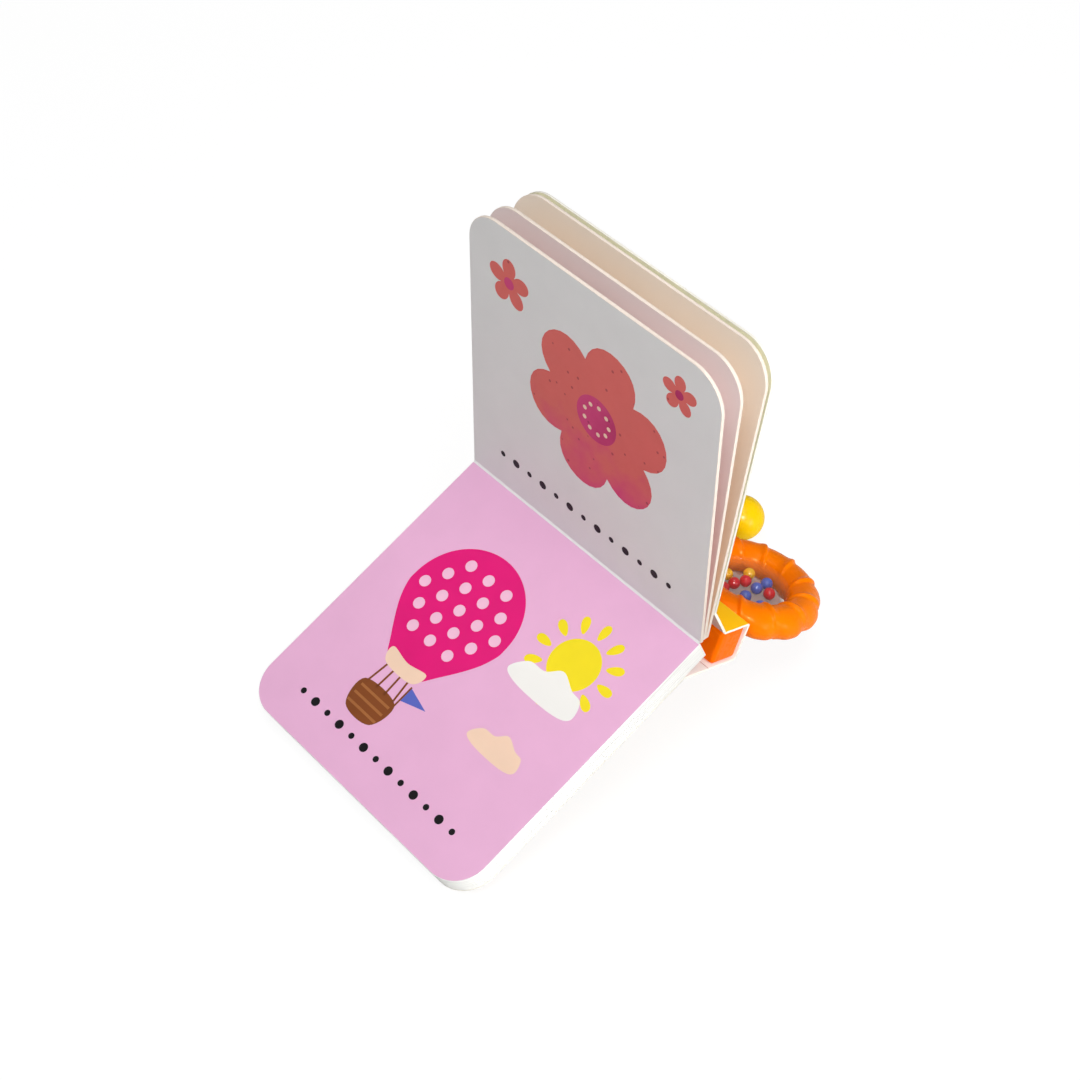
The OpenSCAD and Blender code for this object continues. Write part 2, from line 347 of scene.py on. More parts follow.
page_pink = printed("page_pink", srgb(238, 183, 219), 0.02)
page_white = printed("page_white", srgb(240, 240, 238), 0.015)
# The pink and peach near faces are white pages painted with the reflection of the coloured backs facing them;
# on all four the run to a deeper colour towards the spine is painted shade and painted reflection in the gap.
page_rose_painted_reflection = painted_gap_shade("page_rose_painted_reflection", srgb(254, 241, 239), srgb(250, 216, 209))
rose_back = painted_gap_shade("rose_back", srgb(253, 236, 233), srgb(249, 208, 200))
page_peach_painted_reflection = painted_gap_shade("page_peach_painted_reflection", srgb(254, 243, 230), srgb(252, 222, 196))
amber_back = painted_gap_shade("amber_back", srgb(254, 236, 214), srgb(250, 212, 176))
# The cover's inside is pale cream with a yellow tint: a painted reflection from the yellow back of the third
# board.
cover_painted_yellow_reflection = printed("cover_painted_yellow_reflection", srgb(250, 247, 222))
straw_back = printed("straw_back", srgb(251, 243, 206))
board_edge = cut_edge("board_edge", srgb(249, 249, 245))
leaf_edge = cut_edge("leaf_edge", srgb(244, 231, 218))
card_edge = cut_edge("card_edge", srgb(246, 243, 233))
card_yellow = printed("card_yellow", srgb(255, 192, 4), 0.025, 0.34)
card_liner = printed("card_liner", srgb(246, 232, 227), 0.02, 0.6)
# The strip's inside is the card liner painted down to a grey-mauve: painted shade where it lies inside the
# spine box.
strip_painted_shade = printed("strip_painted_shade", srgb(182, 148, 138), 0.03, 0.6)
# A brownish line along the floor card's crease: painted shade in the fold.
crease_painted_shade = printed("crease_painted_shade", srgb(196, 132, 116), 0.05, 0.7)
fold_white = printed("fold_white", srgb(250, 250, 249), 0.01, 0.5)
WARM_SHINE = srgb(255, 200, 130)
orange = moulded("orange_plastic", srgb(255, 130, 0), srgb(255, 120, 0), tint=WARM_SHINE)
bar_orange = moulded("bar_plastic", srgb(255, 118, 0), srgb(255, 104, 0), shine=0.08, tint=WARM_SHINE)
yellow = moulded("yellow_plastic", srgb(255, 216, 0), srgb(253, 206, 0))
# The clear window's warm pink veil is a painted reflection of the orange ring.
window_clear = clear("clear_plastic", srgb(255, 190, 165), 0.03)
# The lower window is the same clear plastic made grey-mauve and much less clear: painted shade beneath the
# ring.
window_painted_shade = clear("clear_plastic_painted_shade", srgb(172, 142, 134), 0.62)
BEAD_GLOSS = {"gloss": 0.05, "shine": 0.5}
bead_inks = {
    "yellow": moulded("bead_yellow", srgb(255, 204, 48), srgb(250, 190, 28), **BEAD_GLOSS),
    "red": moulded("bead_red", srgb(236, 34, 58), srgb(216, 18, 46), **BEAD_GLOSS),
    "blue": moulded("bead_blue", srgb(86, 124, 228), srgb(64, 104, 212), **BEAD_GLOSS),
}


# Mesh pieces
class Shape:
    """Points in millimetres and faces with a material number each."""

    def __init__(self):
        self.points, self.faces, self.marks = [], [], []

    def add(self, points, faces, marks):
        """Adds points, with faces that count from the first of them."""
        first = len(self.points)
        self.points += [tuple(p) for p in points]
        self.faces += [[first + i for i in face] for face in faces]
        self.marks += marks

    def object(self, name, materials, matrix, flat=(), closed=True, baked=False):
        """The mesh object; faces of the materials in flat stay flat, the rest are smooth.

        A baked piece has its place in its mesh, which keeps its box tight.
        """
        mesh = bpy.data.meshes.new(name)
        points = [matrix @ Vector(p) for p in self.points] if baked else self.points
        mesh.from_pydata([[c * MM for c in p] for p in points], [], self.faces)
        for material in materials:
            mesh.materials.append(material)
        mesh.polygons.foreach_set("material_index", self.marks)
        mesh.polygons.foreach_set("use_smooth", [mark not in flat for mark in self.marks])
        if closed:
            bm = bmesh.new()
            bm.from_mesh(mesh)
            bmesh.ops.recalc_face_normals(bm, faces=bm.faces)
            bm.to_mesh(mesh)
            bm.free()
        mesh.update()
        made = bpy.data.objects.new(name, mesh)
        bpy.context.collection.objects.link(made)
        if not baked:
            made.matrix_world = in_metres(matrix)
        return made


def place(obj, body, slot, *nodes):
    """The piece moves with a body and stands for the CAD nodes, which are hidden; slot is not used."""
    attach(obj, body)
    if nodes:
        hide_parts(*nodes)


FACE, BACK, EDGE = 0, 1, 2
CORNER_STEPS = 14
BEVEL_STEPS = 3
TINY = 1e-6


def arc(centre, radius, first, last, steps):
    """Points of a circle arc from angle first to last in degrees."""
    angles = [math.radians(first + (last - first) * k / steps) for k in range(steps + 1)]
    return [(centre[0] + radius * math.cos(a), centre[1] + radius * math.sin(a)) for a in angles]


def circle(centre, radius, steps):
    """Points of a whole circle."""
    return arc(centre, radius, 0, 360, steps)[:-1]


def page_ring(inset, start, far):
    """Outline of a board as (x, y) points: square at the spine, round at the two outer corners."""
    ring = [(HALF - inset, start - inset)]
    for side, first in ((1, 0), (-1, -90)):
        corner = (side * (HALF - CORNER_R), CORNER_R - far)
        ring += arc(corner, CORNER_R - inset, first, first - 90, CORNER_STEPS)
    return ring + [(inset - HALF, start - inset)]


def add_slab(shape, low, high, start=0.0, far=PAGE_W, bevel=BOARD_BEVEL, marks=(FACE, BACK, EDGE)):
    """A board from z low to z high with rounded arrises; marks are its top, underside and edge materials."""
    rounds = [math.radians(90 * k / BEVEL_STEPS) for k in range(BEVEL_STEPS + 1)]
    rows = [(bevel * (1 - math.sin(a)), low + bevel * (1 - math.cos(a))) for a in rounds]
    rows += [(inset, high + low - z) for inset, z in reversed(rows)]
    points = []
    for inset, z in rows:
        points += [(x, y, z) for x, y in page_ring(inset, start, far)]
    count = len(points) // len(rows)
    faces = [list(range(count)), list(range(len(points) - count, len(points)))]
    kinds = [marks[1], marks[0]]
    for row in range(len(rows) - 1):
        for k in range(count):
            n = (k + 1) % count
            lower, upper = row * count, (row + 1) * count
            faces.append([lower + k, lower + n, upper + n, upper + k])
            kinds.append(marks[2])
    shape.add(points, faces, kinds)


def rounded_path(corners, radius, steps=6):
    """A path of (y, z) points with its inner corners rounded."""
    path = [Vector(corners[0])]
    for before, corner, after in zip(corners, corners[1:], corners[2:]):
        before, corner, after = Vector(before), Vector(corner), Vector(after)
        a, b = (before - corner).normalized(), (after - corner).normalized()
        half = math.acos(max(-1, min(1, a.dot(b)))) / 2
        reach = radius / math.tan(half)
        centre = corner + (a + b).normalized() * (radius / math.sin(half))
        first, last = corner + a * reach - centre, corner + b * reach - centre
        for k in range(steps + 1):
            t = k / steps
            path.append(centre + (first * (1 - t) + last * t).normalized() * radius)
    return path + [Vector(corners[-1])]


def card_shape(path, flip=False, open_ends=False):
    """Card of even thickness along a (y, z) path: printed outside, lined inside, white where cut."""
    if not open_ends:
        lead = (path[1] - path[0]).normalized() * CARD_BEVEL
        tail = (path[-2] - path[-1]).normalized() * CARD_BEVEL
        path = [path[0], path[0] + lead] + path[1:-1] + [path[-1] + tail, path[-1]]
    last = len(path) - 1
    sides = []
    for i, point in enumerate(path):
        along = (path[min(i + 1, last)] - path[max(i - 1, 0)]).normalized()
        out = Vector((along[1], -along[0])) * (-1 if flip else 1)
        sides.append((point, out, CARD_T / 2 - (CARD_BEVEL if i in (0, last) and not open_ends else 0)))
    inner = HALF - CARD_BEVEL
    stations = [(-HALF, CARD_BEVEL), (-inner, 0), (inner, 0), (HALF, CARD_BEVEL)]
    shape = Shape()
    points = []
    for x, thin in stations:
        for point, out, half in sides:
            for sign in (1, -1):
                p = point + out * sign * max(half - thin, CARD_T / 4)
                points.append((x, p[0], p[1]))
    row = 2 * len(path)
    faces, kinds = [], []
    for s in range(3):
        for i in range(last):
            for side, mark in ((0, FACE), (1, BACK)):
                a = s * row + 2 * i + side
                faces.append([a, a + 2, a + row + 2, a + row])
                kinds.append(mark if s == 1 and (open_ends or 0 < i < last - 1) else EDGE)
        for i in (0, last):
            a = s * row + 2 * i
            faces.append([a, a + 1, a + row + 1, a + row])
            kinds.append(EDGE)
    for s in (0, 3):
        for i in range(last):
            a = s * row + 2 * i
            faces.append([a, a + 1, a + 3, a + 2])
            kinds.append(EDGE)
    shape.add(points, faces, kinds)
    return shape


def spun(profile, steps):
    """A solid of revolution about local Y from (radius, y) points, the first and last on the axis."""
    shape = Shape()
    rows = []
    points = []
    for radius, y in profile:
        if radius < TINY:
            rows.append([len(points)] * steps)
            points.append((0, y, 0))
            continue
        rows.append(list(range(len(points), len(points) + steps)))
        points += [(x, y, z) for x, z in circle((0, 0), radius, steps)]
    faces = []
    for lower, upper in zip(rows, rows[1:]):
        for k in range(steps):
            n = (k + 1) % steps
            face = [lower[k], lower[n], upper[n], upper[k]]
            face = [p for i, p in enumerate(face) if p != face[i - 1]]
            faces.append(face)
    shape.add(points, faces, [0] * len(faces))
    return shape


# Rear half: a stack of glued boards and its cover
rear = Shape()
for i in range(REAR_BOARDS):
    upper = FACE if i == REAR_BOARDS - 1 else BACK
    add_slab(rear, i * BOARD_T - REAR_STACK, (i + 1) * BOARD_T - REAR_STACK, marks=(upper, BACK, EDGE))
rear_boards = rear.object("rear_boards", [page_pink, card_liner, board_edge], REAR, flat=(FACE, BACK))
place(rear_boards, "rear_half", "pink_board", "rear_pages")

back = Shape()
cover_start = -GLUE_IN - HINGE_GAP
add_slab(back, -REAR_TOTAL, -REAR_STACK, start=cover_start, bevel=CARD_BEVEL, marks=(BACK, FACE, EDGE))
rear_cover = back.object("rear_cover_card", [card_yellow, card_liner, card_edge], REAR, flat=(FACE, BACK))
place(rear_cover, "rear_half", "cover_card", "rear_cover")

# Front half: three boards fanned from the spine edge, and its cover
fan_middle = math.radians(FAN_ANGLES[-1]) / 2
# Far and near face of each board; the pink and peach near faces are painted reflection.
front_colours = ((rose_back, page_white), (amber_back, page_rose_painted_reflection), (straw_back, page_peach_painted_reflection))
for i, (angle, (back_colour, face_colour)) in enumerate(zip(FAN_ANGLES, front_colours)):
    leaf = Shape()
    reach = JOIN_W + (PAGE_W - JOIN_W) * math.cos(fan_middle) / math.cos(math.radians(angle) - fan_middle)
    add_slab(leaf, 0, BOARD_T, start=0 if i == 0 else -JOIN_W / 2, far=reach)
    colours = [back_colour, face_colour, leaf_edge]
    board = leaf.object(f"front_board_{i + 1}", colours, fanned(board_base(i), angle), flat=(FACE, BACK))
    place(board, "front_half", "white_board", "front_pages")

cover = Shape()
add_slab(cover, 0, CARD_T, start=cover_start, bevel=CARD_BEVEL)
front_cover = cover.object("front_cover_card", [card_yellow, cover_painted_yellow_reflection, card_edge], COVER, flat=(FACE, BACK))
place(front_cover, "front_half", "cover_card", "front_cover")

# Folded card of the spine: box, free strip and the two folds to the covers
CARD_INKS = [card_yellow, card_liner, card_edge]
floor_z = WALL_LOW + CARD_T / 2
roof_z = WALL_TOP - CARD_T / 2
wall_y = BOX_OUT - CARD_T / 2
box_corners = [(HINGE_GAP - GLUE_IN, floor_z), (wall_y, floor_z), (wall_y, roof_z), (BOX_IN, roof_z)]
spine_box = card_shape(rounded_path(box_corners, FOLD_R)).object("spine_box", CARD_INKS, SPINE)
place(spine_box, "spine", "cover_card", "spine_card")

# The floor crease is a flat strip of painted shade, just above the card.
crease = Shape()
crease_z = WALL_LOW + CARD_T + PRINT_STEP
crease_sides = (CREASE_Y, CREASE_Y + CREASE_W)
corners = [(x, y, crease_z) for y in crease_sides for x in (-HALF, HALF)]
crease.add(corners, [[0, 1, 3, 2]], [0])
crease_line = crease.object("floor_crease", [crease_painted_shade], SPINE, flat=(0,), closed=False)
place(crease_line, "spine", "cover_card")


def fold_path(axis, first_angle, last_angle):
    """Bend of a card about its fold's axis, from one panel's edge to the other's."""
    start = Vector(axis) - turned((HINGE_GAP, 0), first_angle)
    end = Vector(axis) + turned((HINGE_GAP, 0), last_angle)
    half = math.radians(abs(last_angle - first_angle)) / 2
    return rounded_path([start, Vector(axis), end], HINGE_GAP / math.tan(half) * FOLD_FIT)


rear_bend = card_shape(fold_path(REAR_FOLD, 0, -SPINE_ANGLE), open_ends=True)
rear_bend = rear_bend.object("rear_bend", CARD_INKS, REAR)
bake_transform(rear_bend)

front_fold = turned((-GLUE_IN, CARD_T / 2), -COVER_ANGLE, (-JOIN_W, 0)) + Vector((0, COVER_BASE))
fold_open = turned(front_fold, -OPEN_ANGLE, GUTTER)
roof_open = turned((BOX_IN, roof_z), -SPINE_ANGLE, REAR_FOLD)
strip_run = roof_open - fold_open
strip_angle = math.degrees(math.atan2(strip_run[1], strip_run[0]))
strip_stops = (HINGE_GAP, strip_run.length / 2, strip_run.length - TIP_GAP)
strip = card_shape([fold_open + strip_run.normalized() * d for d in strip_stops], flip=True)
# The strip's inner face takes the grey-mauve painted shade.
strip = strip.object("front_strip_card", [card_yellow, strip_painted_shade, card_edge], REAR)
place(strip, "front_fold", "cover_card", "front_strip")

cover_run = -OPEN_ANGLE - COVER_ANGLE
front_bend = card_shape(fold_path(fold_open, cover_run, strip_angle), flip=True, open_ends=True)
front_bend = front_bend.object("front_bend", CARD_INKS, REAR)
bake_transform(front_bend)

# White paper hinge in the gutter between the two open pages
GUTTER_STEPS = 8
page_side = Vector((-GUTTER_W, GUTTER_LIFT))
open_side = turned((-GUTTER_W, FOLD_GAP - GUTTER_LIFT), -OPEN_ANGLE, GUTTER)
inward = GUTTER - page_side.lerp(open_side, 0.5)
hinge = Shape()
section = []
for k in range(GUTTER_STEPS + 1):
    t = k / GUTTER_STEPS
    section.append(page_side.lerp(open_side, t) + inward * GUTTER_SAG * 4 * t * (1 - t))
points = [(x, p[0], p[1]) for x in (-HALF + BOARD_BEVEL, HALF - BOARD_BEVEL) for p in section]
quads = [[k, k + 1, k + GUTTER_STEPS + 2, k + GUTTER_STEPS + 1] for k in range(GUTTER_STEPS)]
hinge.add(points, quads, [0] * GUTTER_STEPS)
gutter_hinge = hinge.object("gutter_hinge", [fold_white], REAR, closed=False)
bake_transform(gutter_hinge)


# Rattle: bar in the spine box, two ribbed rings with bead capsules, stem and ball
BAR_FLAT_AREA = 0.0001  # the bar's faces above this many square metres stay flat
RING_STEPS = 48 * RIB_COUNT
TUBE_STEPS = 72
PEG_STEPS = 48
CAPSULE_STEPS = 96
BEAD_STEPS = 40
STEM_STEPS = 72
BALL_STEPS = 120
PEG_FLARE = ((1.2, 1.5), (0.5, -0.2), (0, -1.2))  # wider than the peg, at a depth into the tube
DOME_STEPS = 20
WAIST_STOPS = (0.92, 0.8, 0.65, 0.5, 0.35, 0.2, 0)  # heights on the capsule's side, as shares


def bar_mesh():
    """The bar, with rounded edges."""
    low = (BAR_RECESS - HALF, BOX_IN, WALL_LOW + CARD_T + BAR_GAP)
    high = (HALF - BAR_RECESS, BOX_OUT - CARD_T - BAR_GAP, WALL_TOP - CARD_T - BAR_GAP)
    bm = bmesh.new()
    bmesh.ops.create_cube(bm, size=1)
    for v in bm.verts:
        v.co = Vector([(low[k] if v.co[k] < 0 else high[k]) * MM for k in range(3)])
    bmesh.ops.bevel(bm, geom=bm.edges[:], offset=BAR_ROUND * MM, segments=6, profile=0.5, affect="EDGES")
    mesh = bpy.data.meshes.new("anchor_bar_moulding")
    bm.to_mesh(mesh)
    bm.free()
    mesh.materials.append(bar_orange)
    smooth = [len(p.vertices) == 4 and p.area < BAR_FLAT_AREA for p in mesh.polygons]
    mesh.polygons.foreach_set("use_smooth", smooth)
    made = bpy.data.objects.new(mesh.name, mesh)
    bpy.context.collection.objects.link(made)
    made.matrix_world = in_metres(SPINE)
    return made


place(bar_mesh(), "spine", "orange_plastic", "anchor_bar")


def ring_shape(side):
    """Ring about local Z: ribs over the tube, lobes outside, a round inside and a peg; side -1 mirrors it."""
    points = []
    for i in range(RING_STEPS):
        a = 2 * math.pi * i / RING_STEPS
        for j in range(TUBE_STEPS):
            b = 2 * math.pi * j / TUBE_STEPS
            phase = math.remainder(RIB_COUNT * (a - math.radians(RIB_START)) - RIB_LEAN * b, 2 * math.pi)
            ridge = math.exp(-((phase / (RIB_STEEP if phase < 0 else RIB_GENTLE)) ** 2))
            outer = ((1 + math.cos(b - math.radians(LOBE_MIDDLE))) / 2) ** LOBE_SHARP
            lobe = 1 - 2 * ((1 + math.cos(phase)) / 2) ** 2
            inner = ((1 - math.cos(b)) / 2) ** RIB_FADE
            r = TUBE_R + RIB_H * ridge * (1 - outer) * (1 - inner) + LOBE_H * lobe * outer
            reach = RING_R + r * math.cos(b)
            points.append((side * reach * math.cos(a), reach * math.sin(a), r * math.sin(b)))
    faces = []
    for i in range(RING_STEPS):
        here, ahead = i * TUBE_STEPS, (i + 1) % RING_STEPS * TUBE_STEPS
        for j in range(TUBE_STEPS):
            m = (j + 1) % TUBE_STEPS
            faces.append([here + j, here + m, ahead + m, ahead + j])
    shape = Shape()
    shape.add(points, faces, [0] * len(faces))
    end = RING_OUT + CARD_T + BAR_GAP + SOCKET_DEPTH - FIT_GAP
    r = STEM_D / 2
    flare = [(r + wider, -RING_R - TUBE_R + inside) for wider, inside in PEG_FLARE]
    tip = [(r, PEG_ROUND - end), (r - PEG_ROUND, -end), (0, -end)]
    peg = spun([(0, -RING_R)] + flare + tip, PEG_STEPS)
    shape.add(peg.points, peg.faces, peg.marks)
    return shape


def window_height(distance):
    """Inner height of a window above the ring's middle, at a distance from its centre."""
    return SEAT_H - WINDOW_T + WINDOW_CROWN * (1 - (distance / WINDOW_R) ** 2)


def waist_radius(height):
    """Radius of the capsule at a height from the ring's middle, just inside the tube."""
    return RING_R - math.sqrt((TUBE_R + SEAT_GAP) ** 2 - height**2)


def capsule_shape():
    """Both windows of a ring as one hollow clear shell about local Y, waisted to fit the round tube; the lower
    window's faces are marked for the painted shade material.
    """
    shape = Shape()
    halves = []
    for wall in (0, WINDOW_T):
        reach = waist_radius(SEAT_H) - wall - WINDOW_RIM
        radii = [reach * k / DOME_STEPS for k in range(DOME_STEPS + 1)]
        dome = [(radius, window_height(radius) + WINDOW_T - wall) for radius in radii]
        heights = [share * (SEAT_H - wall) for share in WAIST_STOPS]
        halves.append(dome + [(waist_radius(height) - wall, height) for height in heights])
    skin, hollow = halves
    for half in (skin, hollow):
        whole = half + [(radius, -y) for radius, y in reversed(half) if y > TINY]
        part = spun(whole, CAPSULE_STEPS)
        if half is hollow:
            part.faces = [list(reversed(face)) for face in part.faces]
        low = WINDOW_T - SEAT_H + FIT_GAP
        # Faces of the lower window take the painted shade material.
        lower_shade_marks = [int(max(part.points[i][1] for i in face) < low) for face in part.faces]
        shape.add(part.points, part.faces, lower_shade_marks)
    return shape


def bead_shape(side, shares):
    """Beads of one colour, lying on the lower window, each with the fine seam of its mould."""
    shape = Shape()
    for share in shares:
        x, y = share[0] * WINDOW_R, share[1] * WINDOW_R
        z = BEAD_D / 2 + FIT_GAP - window_height(math.hypot(x, y) + BEAD_D / 4)
        ball = spun(seamed_ball(BEAD_D / 2, *BEAD_SEAM, BEAD_STEPS // 2), BEAD_STEPS)
        shape.add([(side * x + p[0], y + p[1], z + p[2]) for p in ball.points], ball.faces, ball.marks)
    return shape


def seamed_ball(radius, depth, width, steps):
    """Half section of a ball with a seam round its middle, from one pole to the other."""
    gap = math.degrees(width / radius)
    lower = arc((0, 0), radius, -90, -gap, steps)
    upper = arc((0, 0), radius, gap, 90, steps)
    lower[0], upper[-1] = (0, -radius), (0, radius)
    return lower + [(radius - depth, 0)] + upper


for name, side in (("near", 1), ("far", -1)):
    ring_frame = SPINE @ Matrix.Translation((side * RING_X, BOX_OUT + RING_OUT, WALL_MID))
    ring = ring_shape(side).object(f"{name}_ring_moulding", [orange], ring_frame, baked=True)
    place(ring, "spine", "orange_plastic", f"{name}_ring")
    upright = ring_frame @ Matrix.Rotation(math.radians(90), 4, "X")
    capsule = capsule_shape()
    capsule = capsule.object(
        f"{name}_capsule", [window_clear, window_painted_shade], upright, closed=False, baked=True
    )
    place(capsule, "spine", "clear_plastic", f"{name}_window_top", f"{name}_window_bottom")
    for colour, shares in BEAD_SPOTS.items():
        beads = bead_shape(side, shares)
        beads = beads.object(f"{name}_{colour}_beads", [bead_inks[colour]], ring_frame, baked=True)
        place(beads, "spine", f"bead_{colour}", f"{name}_beads_{colour}")

stem_frame = SPINE @ Matrix.Translation((0, BOX_OUT, WALL_MID - STEM_DROP))
stem_end = BALL_OUT - BALL_R / 2 - FIT_GAP
stem_r = STEM_D / 2
collar_r = COLLAR_D / 2
sunk = -CARD_T - BAR_GAP - SOCKET_DEPTH + FIT_GAP
stem_profile = [(0, sunk), (stem_r - PEG_ROUND, sunk), (stem_r, sunk + PEG_ROUND), (stem_r, 0)]
stem_profile += [(collar_r - COLLAR_EDGE, 0), (collar_r, COLLAR_EDGE)]
stem_profile += arc((collar_r - COLLAR_ROUND, COLLAR_T - COLLAR_ROUND), COLLAR_ROUND, 0, 90, 5)
stem_profile += arc((stem_r + COLLAR_FILLET, COLLAR_T + COLLAR_FILLET), COLLAR_FILLET, 270, 180, 6)
stem_profile += [(stem_r, stem_end), (0, stem_end)]
stem = spun(stem_profile, STEM_STEPS).object("stem_moulding", [orange], stem_frame, baked=True)
place(stem, "spine", "orange_plastic", "stem")

ball_frame = SPINE @ Matrix.Translation((0, BOX_OUT + BALL_OUT, WALL_MID - STEM_DROP))
ball = spun(seamed_ball(BALL_R, *BALL_SEAM, BALL_STEPS // 3), BALL_STEPS)
ball = ball.object("ball_moulding", [yellow], ball_frame, baked=True)
place(ball, "spine", "yellow_plastic", "ball")


# Prints: generic motifs in thin layers of ink on the two open pages
DOT_STEPS = 40
ROW_DOTS = 13
ROW_RADII = (1.3, 1.9)  # of the small and the large dots in a row


def dot(x, y, radius):
    """The outline of a round dot."""
    return circle((x, y), radius, DOT_STEPS)


def dot_row(first, pitch, up):
    """A row of dots, small and large by turns."""
    return [dot(first + pitch * k, up, ROW_RADII[k % 2]) for k in range(ROW_DOTS)]


def shifted(outline, spot, scale=1):
    """An outline at another spot and scale."""
    return [(spot[0] + scale * x, spot[1] + scale * y) for x, y in outline]


def petal(x, y, angle, length, width, steps=28):
    """A drop that starts at a point and swells away from it, at angle degrees."""
    outline = []
    for k in range(steps):
        t = 2 * math.pi * k / steps
        along = length * (0.5 - 0.5 * math.cos(t))
        across = width / 2 * math.sin(t) * (0.55 + 0.45 * along / length) * 1.12
        outline.append(turned((x + along, y + across), angle, (x, y)))
    return outline


def lobed(x, y, reach, lobes=5, steps=120):
    """The outline of a small flower with round lobes."""
    outline = []
    for k in range(steps):
        t = 2 * math.pi * k / steps
        r = reach * (0.42 + 0.58 * abs(math.cos(lobes * t / 2)) ** 0.7)
        outline.append((x - r * math.sin(t), y + r * math.cos(t)))
    return outline


def smooth_outline(corners, steps=8):
    """A closed smooth curve through its corners."""
    outline = []
    count = len(corners)
    for i in range(count):
        p0, p1, p2, p3 = (Vector(corners[(i + k - 1) % count]) for k in range(4))
        for k in range(steps):
            t = k / steps
            curve = 2 * p1 + (p2 - p0) * t
            curve += (2 * p0 - 5 * p1 + 4 * p2 - p3) * t**2
            curve += (3 * p1 - p0 - 3 * p2 + p3) * t**3
            outline.append(tuple(curve / 2))
    return outline


def line(start, end, width):
    """A stroke with square ends."""
    a, b = Vector(start), Vector(end)
    across = (b - a).normalized().orthogonal() * width / 2
    return [tuple(p) for p in (a + across, b + across, b - across, a - across)]


class Print:
    """Shapes of ink on a page, one piece for each ink; a point is (along the gutter, up the page)."""

    def __init__(self, page, matrix, spot, normal, body, slot):
        self.page, self.matrix, self.spot, self.normal = page, matrix, spot, normal
        self.body, self.slot = body, slot

    def lay(self, name, ink, layer, outlines):
        """Lays outlines of one ink as a piece, so many layers above the page."""
        shape = Shape()
        for outline in outlines:
            points = [self.spot(x, up, layer * PRINT_STEP) for x, up in outline]
            area = sum(a[0] * b[1] - b[0] * a[1] for a, b in zip(points, points[1:] + points[:1]))
            if area * self.normal < 0:
                points.reverse()
            shape.add(points, [list(range(len(points)))], [0])
        piece = shape.object(f"{self.page}_{name}", [ink], self.matrix, flat=(0,), closed=False)
        place(piece, self.body, self.slot)


hot_pink = printed("ink_hot_pink", srgb(232, 20, 122), 0.04)
pale_dot = printed("ink_pale_dot", srgb(248, 196, 222))
ink_peach = printed("ink_peach", srgb(250, 216, 190))
ink_brown = printed("ink_brown", srgb(134, 72, 32), 0.08)
ink_tan = printed("ink_tan", srgb(168, 104, 56), 0.06)
ink_yellow = printed("ink_yellow", srgb(250, 228, 30), 0.04)
ink_white = printed("ink_white", srgb(248, 247, 242), 0.01)
ink_blue = printed("ink_blue", srgb(92, 106, 196), 0.04)
ink_black = printed("ink_black", srgb(16, 14, 18), 0.1)


def on_pink(x, up, height):
    """A print point on the rear half's open page."""
    return (x, up - PAGE_W, height)


def on_white(x, up, height):
    """A print point on the front half's open page."""
    return (x, -up, FOLD_GAP - height)


# Pink page: a balloon with a basket, a sun behind a cloud, a small cloud and a row of dots
pink_print = Print("pink_page", REAR, on_pink, 1, "rear_half", "pink_board")
BALLOON = Vector((-20, 80))
BALLOON_R = 27
MOUTH = BALLOON - Vector((0, 33))
BASKET = MOUTH - Vector((0, 11))
SUN = Vector((33, 93))
SUN_R = 11
RAYS = 12
RAY_START = 13
RAY_SIZE = (7.5, 4.2)  # length and width
CLOUD = ((-17, 0), (-12, 7), (-4, 8), (2, 12.5), (10, 9), (16, 7.5), (18, 0), (10, -3), (-9, -3))
CLOUD_SPOT = SUN + Vector((-3, -17))
SMALL_CLOUD_SPOT = (33, 47)
NECK = [(-23, -13), (-14.5, -25), (-7, -33), (7, -33), (14.5, -25), (23, -13)]
SKIRT = ((-7.5, -1), (7.5, -1), (10, 5.5), (0, 4.2), (-10, 5.5))
BASKET_SIDES = ((-9, 0), (9, 0), (7.2, -12.5), (-7.2, -12.5))
BAND_REACH = 8.4
BAND_DROPS = (2.6, 6.4, 10.2)
BAND_W = 1.1
ROPE_SHARES = (-1, -0.33, 0.33, 1)
ROPE_TOP, ROPE_FOOT = 6, 7.5  # reach of the outer ropes at the balloon and at the basket
ROPE_W = 0.9
PENNANT = ((9.6, 9), (21, 6), (9.6, 2.6))
POLE = ((9.2, -2), (9.2, 9.4))
POLE_W = 0.8

envelope = arc((0, 0), BALLOON_R, -10, 190, 20) + NECK
pink_print.lay("balloon", hot_pink, 1, [smooth_outline(shifted(envelope, BALLOON), 4)])

SPOT_R = 2.5
SPOT_ACROSS, SPOT_UP = 10.5, 8.2
SPOT_MARGIN = 4.2
LOWEST_SPOT = -24
NARROW_BELOW, NARROWING = -6, 0.62  # where the balloon narrows, and how fast
spots = []
for row in range(-3, 4):
    for column in range(-3, 4):
        x, y = SPOT_ACROSS * (column + 0.5 * (row % 2)), SPOT_UP * row
        room = BALLOON_R - SPOT_MARGIN + min(y - NARROW_BELOW, 0) * NARROWING
        if math.hypot(x, max(y, 0)) < room and y > LOWEST_SPOT:
            spots.append(dot(BALLOON.x + x, BALLOON.y + y, SPOT_R))
pink_print.lay("balloon_dots", pale_dot, 2, spots)

pink_print.lay("skirt", ink_peach, 2, [smooth_outline(shifted(SKIRT, MOUTH))])
ropes = []
for share in ROPE_SHARES:
    top, foot = (MOUTH.x + share * ROPE_TOP, MOUTH.y), (BASKET.x + share * ROPE_FOOT, BASKET.y)
    ropes.append(line(top, foot, ROPE_W))
pink_print.lay("basket", ink_brown, 1, ropes + [smooth_outline(shifted(BASKET_SIDES, BASKET))])
bands = []
for drop in BAND_DROPS:
    ends = shifted(((-BAND_REACH, -drop), (BAND_REACH, -drop)), BASKET)
    bands.append(line(*ends, BAND_W))
pink_print.lay("basket_bands", ink_tan, 2, bands)

